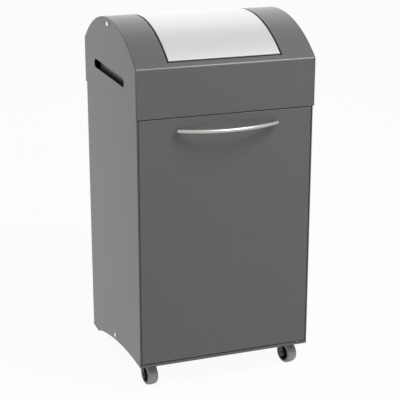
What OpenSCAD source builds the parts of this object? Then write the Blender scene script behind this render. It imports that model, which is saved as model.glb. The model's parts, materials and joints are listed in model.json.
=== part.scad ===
// Recycling bin: a sheet-steel cabinet with a front door, a round-topped hood with a swing
// flap in it, two swivel casters under the front, two feet at the back and an inner bin.
// X runs across the width, Y from the front (-) to the back (+), Z up from the floor.
// The origin is on the floor under the middle of the whole bin, handle included.
// All sizes are in millimetres.

/* [Overall] */
// Width across the hood's cheeks
hood_w = 400; // [380:1:440]
// Depth of the hood from front to back
hood_d = 408; // [396:1:440]
// Height of the front's lower edge above the floor
lift_h = 62; // [60:1:66]
// Height from the front's lower edge to the seam under the hood
body_h = 558; // [540:1:640]
// Height of the hood's upright front from the seam to the crease
hood_front_h = 104; // [98:1:130]
// Rise of the dome above the crease
dome_rise = 76; // [66:1:90]

/* [Sheet metal] */
// Thickness of the steel sheet
sheet_t = 1.5; // [1:0.1:2]
// Gap between the hood and the cabinet that it laps over
lap_gap = 0.3; // [0.2:0.05:0.5]
// Height of the cabinet's rim inside the hood
lap_h = 25; // [18:1:35]
// Gap between a hood cheek and the end of the bent hood sheet
cheek_gap = 0.4; // [0.2:0.1:0.8]

/* [Side panels] */
// Length of the flat foot at the back of each side panel
foot_l = 48; // [30:1:80]
// Thickness of the plastic pad under each foot
pad_t = 3; // [2:0.5:6]
// Width of the sheet folded double along the front edge
hem_w = 12; // [8:1:18]
// Width of the flange folded in along the back edge
return_w = 25; // [15:1:40]

/* [Grip slots] */
// Length of the slot in each hood cheek
slot_l = 240; // [120:1:280]
// Height of the slot
slot_h = 19; // [12:1:26]
// Height of the slot's middle above the seam
slot_rise = 60; // [45:1:70]
// Depth of the pocket behind the slot
slot_depth = 12; // [10:1:20]
// Height of the wall folded down at the back of the pocket
slot_wall = 32; // [26:1:36]

/* [Swing flap] */
// Width of the flap
flap_w = 250; // [200:1:300]
// Thickness of the flap's sheet
flap_t = 1.2; // [0.8:0.1:1.6]
// Arc of the dome left standing between the crease and the flap's edge
flap_margin = 17.5; // [12:0.5:30]
// Gap all round the flap
flap_gap = 3; // [2:0.5:5]
// Depth of the flap's side flanges
flap_flange = 22; // [20:1:30]
// Depth of the flap's end flanges
flap_lip = 9; // [5:1:14]
// Depth of the axle's middle under the top of the dome
axle_drop = 13; // [12:0.5:14]
// Diameter of the flap axle
axle_dia = 8; // [6:0.5:9]
// Radial clearance of a turning shaft
run_gap = 0.05; // [0.02:0.01:0.1]

/* [Door] */
// Depth of the door from face to back
door_t = 16; // [15:0.5:18]
// Gap at each side of the door
door_gap = 0.6; // [0.5:0.1:1.2]
// Outer radius of the folds along the door's sides
door_fold = 2.6; // [1.8:0.1:3]
// Width of the lips folded in behind the door
door_lip = 12; // [8:1:20]
// Distance of the hinge axis from the hem beside it
hinge_side = 20; // [18:0.5:21]
// Distance of the hinge axis from the door's face
hinge_in = 5; // [4.9:0.1:5.2]
// Diameter of the hinge pins
hinge_dia = 4; // [3:0.25:4]

/* [Handle] */
// Length of the bow handle from end to end
handle_l = 224; // [160:1:260]
// Diameter of the handle bar
handle_dia = 9; // [7:0.5:12]
// Reach of the bar's middle in front of the door
handle_out = 38; // [30:1:50]
// Reach of the bar's ends in front of the door
handle_end = 8; // [7:1:14]
// Distance of the handle's posts from the bar's ends
post_in = 10; // [8:1:30]
// Distance of the handle below the seam
handle_drop = 28; // [20:1:60]

/* [Casters] */
// Diameter of the wheels
wheel_dia = 50; // [40:1:50]
// Width of the tyre
tyre_w = 25; // [14:1:28]
// Height of the caster from the floor to the top of its plate
caster_h = 70; // [70:1:74]
// Distance from the swivel axis back to the wheel axle
trail = 16; // [10:1:20]
// Distance of the swivel axis from the hood's side
caster_in_x = 34; // [34:1:60]
// Distance of the swivel axis from the hood's front
caster_in_y = 62; // [62:1:90]
// Angle at which the left caster stands
caster_turn_left = 7; // [-180:1:180]
// Angle at which the right caster stands
caster_turn_right = 14; // [-180:1:180]

/* [Inner bin] */
// Width of the inner bin
liner_w = 310; // [260:1:320]
// Depth of the inner bin
liner_d = 310; // [260:1:320]
// Height of the inner bin
liner_h = 478; // [380:1:490]
// Thickness of the inner bin's wall
liner_t = 1; // [0.8:0.1:2]
// Radius of the inner bin's corners
liner_r = 22; // [10:1:40]
// Radius of the rolled rim
rim_r = 4; // [3:0.5:6]
// Diameter of the bail wire
bail_dia = 6; // [4:0.5:8]

/* [Hidden] */
$fn = 96;

// Colours
paint = [0.39, 0.39, 0.39];
satin = [0.84, 0.84, 0.83];
bright = [0.75, 0.75, 0.74];
zinc = [0.62, 0.64, 0.66];
black = [0.09, 0.09, 0.09];
nylon = [0.85, 0.84, 0.8];
rubber_grey = [0.55, 0.55, 0.54];

// A cut runs this far past the face that it opens
over = 1;

// Heights and the dome
seam_z = lift_h + body_h;
crease_z = seam_z + hood_front_h;
top_z = crease_z + dome_rise;
dome_r = (pow(hood_d / 2, 2) + pow(dome_rise, 2)) / (2 * dome_rise);
dome_z = top_z - dome_r;
crease_a = asin(hood_d / 2 / dome_r);

// The cabinet inside the hood's outline, and the hood's own middle behind the origin
wrap = sheet_t + lap_gap;
body_w = hood_w - 2 * wrap;
body_d = hood_d - 2 * wrap;
mid_y = (handle_out + handle_dia / 2 - wrap) / 2;
hood_front = mid_y - hood_d / 2;
hood_back = mid_y + hood_d / 2;
side_x = body_w / 2;
front_y = mid_y - body_d / 2;
back_y = mid_y + body_d / 2;
rim_z = seam_z + lap_h;
inner_x = side_x - sheet_t;
hem_x = side_x - 2 * sheet_t;
arch_run = body_d - foot_l;
arch_fall = lift_h - pad_t;
arch_r = (pow(arch_run, 2) + pow(arch_fall, 2)) / (2 * arch_fall);

// Door and hinge
door_x = hem_x - door_gap;
sill_t = 2;
sill_h = 6;
sill_gap = 0.8;
sill_top = lift_h + sill_h;
head_gap = 1.5;
door_z0 = sill_top + sill_gap;
door_z1 = seam_z - head_gap;
door_back = front_y + door_t;
hinge_x = hem_x - hinge_side;
hinge_y = front_y + hinge_in;
hinge_swing = norm([hinge_side - door_gap, door_t - hinge_in]);
hinge_r = hinge_dia / 2;
bush_wall = 1.2;
bush_r = hinge_r + run_gap + bush_wall;
bush_l = 12;
bush_collar = 0.6;
bush_collar_rim = 1;
pin_stand = 2;
rail_drop = 0.5;
rail_z = seam_z - rail_drop;
rail_d = 40;
rail_lip = 11;

// Floor pan
pan_t = 2;
pan_z = caster_h;
pan_top = pan_z + pan_t;
door_swing_gap = 1.5;
pan_front = hinge_y + hinge_swing + door_swing_gap;
tab_w = 24;
tab_margin = 2;
tab_z = arch_edge_z(mid_y - tab_w / 2) + tab_margin;
floor_screw_r = 3;
screw_rise = 8;
screw_z = tab_z + screw_rise;
floor_screw_head_r = 5.5;
floor_screw_head_h = 2.6;

// Swing flap
flap_a = crease_a - flap_margin / dome_r * 180 / PI;
gap_a = flap_gap / dome_r * 180 / PI;
axle_z = top_z - axle_drop;
axle_r = axle_dia / 2;
opening_x = flap_w / 2 + flap_gap;
opening_flange = 6;
flap_bush_wall = 2;
flap_bush_r = axle_r + run_gap + flap_bush_wall;
flap_bush_flange_t = 2;
flap_bush_flange_rim = 2;
collar_r = 7;
collar_w = 5;
cap_r = 5.5;
cap_h = 3.5;

// Hood studs and nuts
stud_r = 2.5;
stud_l = 10;
stud_x = 120;
stud_z = seam_z + lap_h / 2;
nut_af = 8;
nut_t = 4;
nut_gap = 0.1;

// Handle
handle_z = seam_z - handle_drop;
handle_rise = handle_out - handle_end;
bow_r = (pow(handle_l / 2, 2) + pow(handle_rise, 2)) / (2 * handle_rise);
bow_a = asin(handle_l / 2 / bow_r);
post_x = handle_l / 2 - post_in;
post_reach = handle_out - bow_r + sqrt(pow(bow_r, 2) - pow(post_x, 2));
post_rim = 0.9;
post_r = handle_dia / 2 - post_rim;
handle_screw_r = 1.5;
handle_hole_l = 7;
handle_head_r = 3.2;
handle_head_h = 2.2;

// Magnetic catch
catch_from_edge = 63;
catch_x = catch_from_edge - door_x;
catch_w = 40;
catch_h = 18;
catch_l = 18;
magnet_w = 30;
magnet_h = 10;
magnet_l = 11;
magnet_z = door_z1 - sheet_t - magnet_h / 2;
strike_w = 36;
strike_t = 1;
catch_gap = 0.3;
housing_set_back = 2;

// Casters
wheel_r = wheel_dia / 2;
swivel_x = hood_w / 2 - caster_in_x;
swivel_y = hood_front + caster_in_y;
plate_w = 58;
plate_t = 2.5;
plate_hole = 22;
head_r = 17;
head_h = 5.5;
crown_t = 3;
bearing_gap = 0.3;
crown_z = caster_h - plate_t - head_h - bearing_gap;
kingpin_r = 4;
kingpin_head_r = 6.5;
kingpin_head_h = 2;
leg_t = 2;
leg_gap = 1.5;
leg_x = tyre_w / 2 + leg_gap;
leg_foot_r = 8;
leg_slant = 2;
crown_rim = 0.5;
crown_r = norm([leg_x + leg_t, leg_foot_r]) + crown_rim;
wheel_axle_r = 3;
axle_head_rim = 2;
axle_head_t = 1.5;
hub_r = 8;
hub_stand = 1;
tyre_t = 4.5;
tyre_crown_r = 30;
rim_out = wheel_r - tyre_t;
rim_step = 2;
rim_w = tyre_w - 2 * rim_step;
rim_wall = 2;
web_t = 4;
bolt_r = 2.4;
bolt_head_r = 4.5;
bolt_head_h = 2.8;
bolt_nut_t = 4;
bolt_stand = 1;

// Inner bin, its runners and its bail
runner_h = 8;
runner_w = 20;
runner_lip_h = 22;
runner_lip_t = 2;
runner_slack = 1;
runner_from_plate = 4;
runner_reach = 150;
liner_back = 6;
runner_y0 = swivel_y + plate_w / 2 + runner_from_plate;
runner_y1 = mid_y + runner_reach;
liner_y = mid_y + liner_back;
liner_z = pan_top + runner_h;
liner_top = liner_z + liner_h;
ear_t = 2;
ear_w = 24;
ear_h = 40;
ear_foot_gap = 2;
ear_x = liner_w / 2 + rim_r + lap_gap;
bail_r = bail_dia / 2;
bail_lift = 1;
bail_z = liner_top + bail_r + bail_lift;
bail_from_wall = 12;
bail_run = liner_d / 2 - bail_from_wall;
bail_side_gap = 1.5;
bail_x = ear_x + ear_t + bail_r + bail_side_gap;
bail_stub = 3;
bail_bend = 18;
grip_r = 9;
grip_l = 96;

// Height of the side panel's arched edge at a place along Y
function arch_edge_z(y) = lift_h - arch_r + sqrt(pow(arch_r, 2) - pow(y - front_y, 2));

// A profile drawn in Y and Z, extruded along X from x0 to x1
module along_x(x0, x1) {
    translate([x0, 0, 0])
        rotate([90, 0, 90])
            linear_extrude(x1 - x0) children();
}

// A round rod along X, Y or Z between two places
module rod_x(x0, x1, y, z, r) {
    translate([x0, y, z]) rotate([0, 90, 0]) cylinder(r = r, h = x1 - x0);
}
module rod_y(x, y0, y1, z, r) {
    translate([x, y0, z]) rotate([-90, 0, 0]) cylinder(r = r, h = y1 - y0);
}
module rod_z(x, y, z0, z1, r) {
    translate([x, y, z0]) cylinder(r = r, h = z1 - z0);
}

// A box between two corners
module block(low, high) {
    translate(low) cube(high - low);
}

// The hood's side outline, drawn in Y and Z, set in from the outer face
module hood_outline(set_in = 0, low = seam_z) {
    intersection() {
        translate([hood_front + set_in, low])
            square([hood_d - 2 * set_in, top_z]);
        translate([mid_y, dome_z]) circle(r = dome_r - set_in, $fn = 360);
    }
}

// A wedge from the dome's centre, as wide as an angle on each side of the top
module dome_wedge(a) {
    reach = 2 * dome_r;
    translate([mid_y, dome_z])
        polygon([[0, 0], [-reach * sin(a), reach * cos(a)],
                 [0, reach], [reach * sin(a), reach * cos(a)]]);
}

// A band of the dome between two depths, as wide as an angle on each side of the top
module dome_band(outer, inner, a) {
    intersection() {
        difference() {
            translate([mid_y, dome_z]) circle(r = dome_r - outer, $fn = 360);
            translate([mid_y, dome_z]) circle(r = dome_r - inner, $fn = 360);
        }
        dome_wedge(a);
    }
}

// A side panel's outline with the arched lower edge
module side_outline() {
    difference() {
        translate([front_y, pad_t]) square([body_d, rim_z - pad_t]);
        translate([front_y, lift_h - arch_r]) circle(r = arch_r, $fn = 720);
    }
}

// Left side panel: the plate, its front hem and its back flange
module side_panel_left() {
    color(paint) difference() {
        union() {
            along_x(-side_x, -inner_x) side_outline();
            intersection() {
                along_x(-inner_x, -hem_x) side_outline();
                block([-side_x, front_y, 0], [0, front_y + hem_w, rim_z]);
            }
            block([-inner_x, back_y - sheet_t, pad_t], [-side_x + return_w, back_y, rim_z]);
        }
        rod_x(-side_x - over, -inner_x + over, mid_y, screw_z, floor_screw_r + run_gap);
    }
}

module side_panel_right() {
    mirror([1, 0, 0]) side_panel_left();
}

module back_panel() {
    color(paint) difference() {
        block([-inner_x, back_y - 2 * sheet_t, lift_h], [inner_x, back_y - sheet_t, rim_z]);
        for (x = [-stud_x, stud_x])
            rod_y(x, back_y - 2 * sheet_t - over, back_y, stud_z, stud_r + nut_gap);
    }
}

// Floor pan with its folded sill under the door and a screw tab at each side
module floor_pan() {
    color(paint) difference() {
        union() {
            block([-inner_x, pan_front, pan_z], [inner_x, back_y - 2 * sheet_t, pan_top]);
            block([-inner_x, pan_front, lift_h], [inner_x, pan_front + pan_t, pan_z]);
            block([-hem_x, front_y, sill_top - sill_t], [hem_x, pan_front + pan_t, sill_top]);
            block([-hem_x, front_y, lift_h], [hem_x, front_y + sill_t, sill_top]);
            for (s = [-1, 1])
                translate([s * (inner_x - pan_t / 2), mid_y, (tab_z + pan_z) / 2])
                    cube([pan_t, tab_w, pan_z - tab_z], center = true);
        }
        rod_x(-side_x, side_x, mid_y, screw_z, floor_screw_r + run_gap);
        for (s = [-1, 1], x = [-plate_hole, plate_hole], y = [-plate_hole, plate_hole])
            rod_z(s * swivel_x + x, swivel_y + y, pan_z - over, pan_top + over, bolt_r + run_gap);
        rod_z(hinge_x, hinge_y, lift_h, sill_top + over, hinge_r + run_gap);
    }
}

// Rail across the front above the door, behind the hood
module front_rail() {
    color(paint) difference() {
        union() {
            block([-hem_x, front_y, rail_z], [hem_x, front_y + sheet_t, rim_z]);
            block([-hem_x, front_y, rail_z], [hem_x, front_y + rail_d, rail_z + sheet_t]);
            block([-hem_x, front_y + rail_d - sheet_t, rail_z],
                  [hem_x, front_y + rail_d, rail_z + rail_lip]);
        }
        rod_z(hinge_x, hinge_y, rail_z - over, rail_z + sheet_t + over, hinge_r + run_gap);
        for (x = [-stud_x, stud_x])
            rod_y(x, front_y - over, front_y + sheet_t + over, stud_z, stud_r + nut_gap);
    }
}

// One round-headed screw through each side panel into the floor pan's tab
module floor_screws() {
    color(bright) for (s = [0, 1]) mirror([s, 0, 0]) {
        rod_x(-side_x, -inner_x + 2 * pan_t, mid_y, screw_z, floor_screw_r);
        intersection() {
            rod_x(-side_x - floor_screw_head_h, -side_x, mid_y, screw_z, floor_screw_head_r);
            translate([-side_x + dome_back(floor_screw_head_r, floor_screw_head_h), mid_y, screw_z])
                sphere(r = dome_back(floor_screw_head_r, floor_screw_head_h) + floor_screw_head_h);
        }
    }
}

// Distance of a round head's centre behind its seat, for a head of a radius and height
function dome_back(r, h) = (r * r - h * h) / (2 * h);

// Plastic pad under a back foot, with a rib that grips the sheet from inside
module foot_pad_left() {
    rib_t = 2;
    rib_h = 9;
    rib_end = 1;
    pad_w = 10;
    color(black) {
        block([-side_x, back_y - foot_l, 0], [-side_x + pad_w, back_y, pad_t]);
        block([-side_x + pad_w, back_y - pad_w, 0], [-side_x + return_w, back_y, pad_t]);
        block([-inner_x, back_y - foot_l + rib_end, pad_t],
              [-inner_x + rib_t, back_y - sheet_t, pad_t + rib_h]);
    }
}

module foot_pad_right() {
    mirror([1, 0, 0]) foot_pad_left();
}

// Bent hood sheet: upright front and back with the dome between, cut out for the flap
module hood_shell() {
    shell_x = hood_w / 2 - sheet_t - cheek_gap;
    color(paint) {
        difference() {
            along_x(-shell_x, shell_x) difference() {
                hood_outline();
                hood_outline(sheet_t, seam_z - over);
            }
            along_x(-opening_x, opening_x) dome_wedge(flap_a + gap_a);
        }
        for (x = [-opening_x - sheet_t, opening_x])
            along_x(x, x + sheet_t) dome_band(sheet_t, sheet_t + opening_flange, flap_a);
        for (x = [-stud_x, stud_x]) {
            rod_y(x, hood_front + sheet_t, hood_front + sheet_t + stud_l, stud_z, stud_r);
            rod_y(x, hood_back - sheet_t - stud_l, hood_back - sheet_t, stud_z, stud_r);
        }
    }
}

// Hood cheek with the long grip slot, the lip folded in over it and the wall folded down behind it
module hood_cheek_left() {
    straight = slot_l - slot_h;
    slot_z = seam_z + slot_rise;
    slot_top = slot_z + slot_h / 2;
    cheek_x = hood_w / 2;
    color(paint) {
        difference() {
            along_x(-cheek_x, -cheek_x + sheet_t) difference() {
                hood_outline();
                translate([mid_y - straight / 2, slot_z - slot_h / 2]) square([straight, slot_h]);
                for (y = [-straight / 2, straight / 2])
                    translate([mid_y + y, slot_z]) circle(d = slot_h);
            }
            rod_x(-cheek_x - over, -cheek_x + sheet_t + over, mid_y, axle_z, axle_r + run_gap);
        }
        block([-cheek_x + sheet_t, mid_y - straight / 2, slot_top],
              [-cheek_x + slot_depth + sheet_t, mid_y + straight / 2, slot_top + sheet_t]);
        block([-cheek_x + slot_depth, mid_y - straight / 2, slot_top - slot_wall],
              [-cheek_x + slot_depth + sheet_t, mid_y + straight / 2, slot_top]);
    }
}

module hood_cheek_right() {
    mirror([1, 0, 0]) hood_cheek_left();
}

// A six-sided nut with its bore along Z, seated at z = 0
module nut(across, thick, bore_r) {
    difference() {
        cylinder(d = across / cos(30), h = thick, $fn = 6);
        translate([0, 0, -over]) cylinder(r = bore_r, h = thick + 2 * over);
    }
}

// Four nuts on the hood's welded studs, inside the rail and the back panel
module hood_nuts() {
    color(zinc) for (x = [-stud_x, stud_x]) {
        translate([x, front_y + sheet_t, stud_z])
            rotate([-90, 0, 0]) nut(nut_af, nut_t, stud_r + nut_gap);
        translate([x, back_y - 2 * sheet_t, stud_z])
            rotate([90, 0, 0]) nut(nut_af, nut_t, stud_r + nut_gap);
    }
}

// Fixed axle from cheek to cheek
module flap_axle() {
    color(zinc) rod_x(-hood_w / 2, hood_w / 2, mid_y, axle_z, axle_r);
}

// Bright round-headed cap on the axle's end
module axle_cap_left() {
    back = dome_back(cap_r, cap_h);
    color(bright) intersection() {
        rod_x(-hood_w / 2 - cap_h, -hood_w / 2, mid_y, axle_z, cap_r);
        translate([-hood_w / 2 + back, mid_y, axle_z]) sphere(r = back + cap_h);
    }
}

module axle_cap_right() {
    mirror([1, 0, 0]) axle_cap_left();
}

// Two collars that keep the flap in the middle of its opening
module axle_collars() {
    x0 = flap_w / 2 - flap_t - flap_bush_flange_t - lap_gap - collar_w;
    color(zinc) for (s = [0, 1]) mirror([s, 0, 0]) difference() {
        rod_x(x0, x0 + collar_w, mid_y, axle_z, collar_r);
        rod_x(x0 - over, x0 + collar_w + over, mid_y, axle_z, axle_r + run_gap);
    }
}

// Swing flap: the curved sheet with a flange at each side and a lip at each end
module flap_panel() {
    lip_a = flap_t / dome_r * 180 / PI;
    color(satin) difference() {
        union() {
            along_x(-flap_w / 2, flap_w / 2) dome_band(0, flap_t, flap_a);
            for (x = [-flap_w / 2, flap_w / 2 - flap_t])
                along_x(x, x + flap_t) dome_band(0, flap_flange, flap_a);
            along_x(-flap_w / 2, flap_w / 2) difference() {
                dome_band(0, flap_lip, flap_a);
                dome_wedge(flap_a - lip_a);
            }
        }
        rod_x(-flap_w / 2 - over, flap_w / 2 + over, mid_y, axle_z, flap_bush_r + run_gap);
    }
}

// Flanged bush in the flap's side flange
module flap_bush_left() {
    x1 = -flap_w / 2 + flap_t;
    x2 = x1 + flap_bush_flange_t;
    color(nylon) difference() {
        union() {
            rod_x(-flap_w / 2, x2, mid_y, axle_z, flap_bush_r);
            rod_x(x1, x2, mid_y, axle_z, flap_bush_r + flap_bush_flange_rim);
        }
        rod_x(-flap_w / 2 - over, x2 + over, mid_y, axle_z, axle_r + run_gap);
    }
}

module flap_bush_right() {
    mirror([1, 0, 0]) flap_bush_left();
}

// The door's outline seen from above, with its folded front corners, set in from the outer face
module door_plan(set_in) {
    fold_x = door_x - door_fold;
    fold_y = front_y + door_fold;
    for (x = [-fold_x, fold_x])
        translate([x, fold_y]) circle(r = door_fold - set_in);
    translate([-fold_x, front_y + set_in])
        square([2 * fold_x, door_back - front_y - 2 * set_in]);
    translate([-door_x + set_in, fold_y])
        square([2 * (door_x - set_in), door_back - set_in - fold_y]);
}

// Door: a tray folded from one sheet, open at the back inside its lips
module door_panel() {
    color(paint) difference() {
        translate([0, 0, door_z0]) linear_extrude(door_z1 - door_z0) door_plan(0);
        translate([0, 0, door_z0 + sheet_t])
            linear_extrude(door_z1 - door_z0 - 2 * sheet_t) door_plan(sheet_t);
        block([-door_x + door_lip, door_back - 2 * sheet_t, door_z0 + door_lip],
              [door_x - door_lip, door_back + over, door_z1 - door_lip]);
        rod_z(hinge_x, hinge_y, door_z0 - over, door_z0 + sheet_t + over, bush_r + run_gap);
        rod_z(hinge_x, hinge_y, door_z1 - sheet_t - over, door_z1 + over, bush_r + run_gap);
        for (x = [-post_x, post_x])
            rod_y(x, front_y - over, front_y + sheet_t + over, handle_z, handle_screw_r + nut_gap);
    }
}

// Upright channel welded behind the door's sheet
module door_stiffener() {
    channel_w = 44;
    channel_t = 1.2;
    color(paint) difference() {
        block([-channel_w / 2, front_y + sheet_t, door_z0 + sheet_t],
              [channel_w / 2, door_back - sheet_t - lap_gap, door_z1 - sheet_t]);
        block([-channel_w / 2 + channel_t, front_y, door_z0],
              [channel_w / 2 - channel_t, door_back - sheet_t - lap_gap - channel_t, door_z1]);
    }
}

// Bush in the door's upper flange
module door_bush_top() {
    color(nylon) difference() {
        rod_z(hinge_x, hinge_y, door_z1 - bush_l, door_z1, bush_r);
        rod_z(hinge_x, hinge_y, door_z1 - bush_l - over, door_z1 + over, hinge_r + run_gap);
    }
}

// Bush in the door's lower flange, whose collar carries the door on the sill
module door_bush_bottom() {
    color(nylon) difference() {
        union() {
            rod_z(hinge_x, hinge_y, door_z0, door_z0 + bush_l, bush_r);
            rod_z(hinge_x, hinge_y, door_z0 - bush_collar, door_z0, bush_r + bush_collar_rim);
        }
        rod_z(hinge_x, hinge_y, door_z0 - bush_collar - over, door_z0 + bush_l + over, hinge_r + run_gap);
    }
}

module hinge_pin_top() {
    color(zinc) rod_z(hinge_x, hinge_y, door_z1 - bush_l, rail_z + sheet_t + pin_stand, hinge_r);
}

module hinge_pin_bottom() {
    color(zinc) rod_z(hinge_x, hinge_y, sill_top - sill_t, door_z0 + bush_l, hinge_r);
}

// Steel plate on the door's upper lip, which the magnet holds
module strike_plate() {
    color(zinc) block([catch_x - strike_w / 2, door_back, door_z1 - door_lip],
                      [catch_x + strike_w / 2, door_back + strike_t, door_z1 - sheet_t]);
}

// Magnetic catch under the front rail
module catch_housing() {
    magnet_y = door_back + strike_t + catch_gap;
    y0 = magnet_y + housing_set_back;
    slack = [nut_gap, nut_gap, nut_gap];
    color(black) difference() {
        block([catch_x - catch_w / 2, y0, rail_z - catch_h],
              [catch_x + catch_w / 2, y0 + catch_l, rail_z]);
        block([catch_x - magnet_w / 2, magnet_y, magnet_z - magnet_h / 2] - slack,
              [catch_x + magnet_w / 2, magnet_y + magnet_l, magnet_z + magnet_h / 2] + slack);
    }
}

module catch_magnet() {
    y0 = door_back + strike_t + catch_gap;
    color(zinc) block([catch_x - magnet_w / 2, y0, magnet_z - magnet_h / 2],
                      [catch_x + magnet_w / 2, y0 + magnet_l, magnet_z + magnet_h / 2]);
}

// Bow handle: a round bar bent to an arc, on two posts near its ends
module handle_bow() {
    bar_r = handle_dia / 2;
    bow_y = front_y - handle_out + bow_r;
    color(satin) difference() {
        union() {
            translate([0, bow_y, handle_z])
                rotate([0, 0, -90 - bow_a])
                    rotate_extrude(angle = 2 * bow_a, $fn = 360) translate([bow_r, 0]) circle(r = bar_r);
            for (x = [-post_x, post_x])
                rod_y(x, front_y - post_reach, front_y, handle_z, post_r);
        }
        for (x = [-post_x, post_x])
            rod_y(x, front_y - handle_hole_l, front_y + over, handle_z, handle_screw_r + run_gap);
    }
}

// Screws from inside the door into the handle's posts
module handle_screws() {
    color(zinc) for (x = [-post_x, post_x]) {
        rod_y(x, front_y - handle_hole_l + over, front_y + sheet_t, handle_z, handle_screw_r);
        rod_y(x, front_y + sheet_t, front_y + sheet_t + handle_head_h, handle_z, handle_head_r);
    }
}

// A rounded upright box drawn as a plan outline
module liner_plan(set_in) {
    r = liner_r - set_in;
    x = liner_w / 2 - liner_r;
    y = liner_d / 2 - liner_r;
    for (sx = [-1, 1], sy = [-1, 1])
        translate([sx * x, sy * y]) circle(r = r);
    square([2 * (x + r), 2 * y], center = true);
    square([2 * x, 2 * (y + r)], center = true);
}

// Inner bin of thin galvanised steel with a thickened rim
module liner_bin() {
    color(zinc) translate([0, liner_y, 0]) difference() {
        union() {
            translate([0, 0, liner_z]) linear_extrude(liner_h) liner_plan(0);
            translate([0, 0, liner_top - 2 * rim_r]) linear_extrude(2 * rim_r) liner_plan(-rim_r);
        }
        translate([0, 0, liner_z + liner_t]) linear_extrude(liner_h) liner_plan(liner_t);
    }
}

// Runner on the floor pan with a lip that guides the inner bin
module liner_runner_left() {
    lip_x = -liner_w / 2 - runner_slack;
    color(zinc) {
        block([lip_x, runner_y0, pan_top], [lip_x + runner_w, runner_y1, liner_z]);
        block([lip_x - runner_lip_t, runner_y0, pan_top], [lip_x, runner_y1, pan_top + runner_lip_h]);
    }
}

module liner_runner_right() {
    mirror([1, 0, 0]) liner_runner_left();
}

// Ears riveted to the inner bin's sides, which carry the bail
module liner_ears() {
    foot_z = bail_z - ear_h;
    color(zinc) for (s = [0, 1]) mirror([s, 0, 0]) difference() {
        union() {
            block([-ear_x - ear_t, liner_y - ear_w / 2, foot_z], [-ear_x, liner_y + ear_w / 2, bail_z]);
            rod_x(-ear_x - ear_t, -ear_x, liner_y, bail_z, ear_w / 2);
            block([-ear_x, liner_y - ear_w / 2, foot_z],
                  [-liner_w / 2, liner_y + ear_w / 2, liner_top - 2 * rim_r - ear_foot_gap]);
        }
        rod_x(-ear_x - ear_t - over, -ear_x + over, liner_y, bail_z, bail_r + run_gap);
    }
}

// Bail wire lying back on the rim: two arms, a cross bar and rounded corners
module bail_wire() {
    y1 = liner_y + bail_run;
    color(zinc) {
        for (s = [0, 1]) mirror([s, 0, 0]) {
            rod_x(ear_x - bail_stub, bail_x, liner_y, bail_z, bail_r);
            translate([bail_x, liner_y, bail_z]) sphere(r = bail_r);
            rod_y(bail_x, liner_y, y1 - bail_bend, bail_z, bail_r);
            translate([bail_x - bail_bend, y1 - bail_bend, bail_z])
                rotate_extrude(angle = 90) translate([bail_bend, 0]) circle(r = bail_r);
        }
        rod_x(-bail_x + bail_bend, bail_x - bail_bend, y1, bail_z, bail_r);
    }
}

module bail_grip() {
    y1 = liner_y + bail_run;
    color(black) difference() {
        rod_x(-grip_l / 2, grip_l / 2, y1, bail_z, grip_r);
        rod_x(-grip_l / 2 - over, grip_l / 2 + over, y1, bail_z, bail_r + run_gap);
    }
}

// Places a caster's piece at its swivel axis, turned as it stands
module at_caster(side) {
    turn = side < 0 ? caster_turn_left : caster_turn_right;
    translate([side * swivel_x, swivel_y, 0]) rotate([0, 0, turn]) children();
}

// Top plate with the round swivel head, square to the cabinet
module caster_plate(side) {
    color(zinc) translate([side * swivel_x, swivel_y, 0]) difference() {
        union() {
            block([-plate_w / 2, -plate_w / 2, caster_h - plate_t], [plate_w / 2, plate_w / 2, caster_h]);
            rod_z(0, 0, caster_h - plate_t - head_h, caster_h - plate_t, head_r);
        }
        rod_z(0, 0, 0, caster_h + over, kingpin_r + run_gap);
        for (x = [-plate_hole, plate_hole], y = [-plate_hole, plate_hole])
            rod_z(x, y, 0, caster_h + over, bolt_r + run_gap);
    }
}

// Pin that holds the fork under the plate
module caster_kingpin(side) {
    foot = crown_z - crown_t - bearing_gap;
    color(zinc) translate([side * swivel_x, swivel_y, 0]) {
        rod_z(0, 0, foot, caster_h, kingpin_r);
        rod_z(0, 0, foot - kingpin_head_h, foot, kingpin_head_r);
    }
}

// Fork: a round crown and two legs that reach back to the axle
module caster_fork(side) {
    color(black) at_caster(side) difference() {
        union() {
            rod_z(0, 0, crown_z - crown_t, crown_z, crown_r);
            for (x = [-leg_x - leg_t, leg_x])
                along_x(x, x + leg_t) {
                    polygon([[leg_foot_r, crown_z], [-leg_foot_r, crown_z],
                             [-trail - leg_foot_r, wheel_r + leg_slant],
                             [-trail + leg_foot_r, wheel_r - leg_slant]]);
                    translate([-trail, wheel_r]) circle(r = leg_foot_r);
                }
        }
        rod_z(0, 0, 0, caster_h, kingpin_r + run_gap);
        rod_x(-tyre_w, tyre_w, -trail, wheel_r, wheel_axle_r + run_gap);
    }
}

// Wheel axle, headed at both ends
module caster_axle(side) {
    reach = leg_x + leg_t;
    color(black) at_caster(side) {
        rod_x(-reach, reach, -trail, wheel_r, wheel_axle_r);
        for (s = [0, 1]) mirror([s, 0, 0])
            rod_x(reach, reach + axle_head_t, -trail, wheel_r, wheel_axle_r + axle_head_rim);
    }
}

// Turns a profile drawn from the wheel's middle (radius, place across) round its axle
module wheel_turn() {
    translate([0, -trail, wheel_r]) rotate([0, 90, 0]) rotate_extrude() children();
}

// Wheel centre: hub, web and rim
module caster_wheel(side) {
    hub_w = tyre_w + 2 * hub_stand;
    bore = wheel_axle_r + run_gap;
    color(black) at_caster(side) wheel_turn() {
        translate([bore, -hub_w / 2]) square([hub_r - bore, hub_w]);
        translate([hub_r, -web_t / 2]) square([rim_out - hub_r, web_t]);
        translate([rim_out - rim_wall, -rim_w / 2]) square([rim_wall, rim_w]);
    }
}

// Crowned rubber tyre
module caster_tyre(side) {
    color(rubber_grey) at_caster(side) wheel_turn() intersection() {
        translate([rim_out, -tyre_w / 2]) square([wheel_r - rim_out, tyre_w]);
        translate([wheel_r - tyre_crown_r, 0]) circle(r = tyre_crown_r);
    }
}

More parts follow.
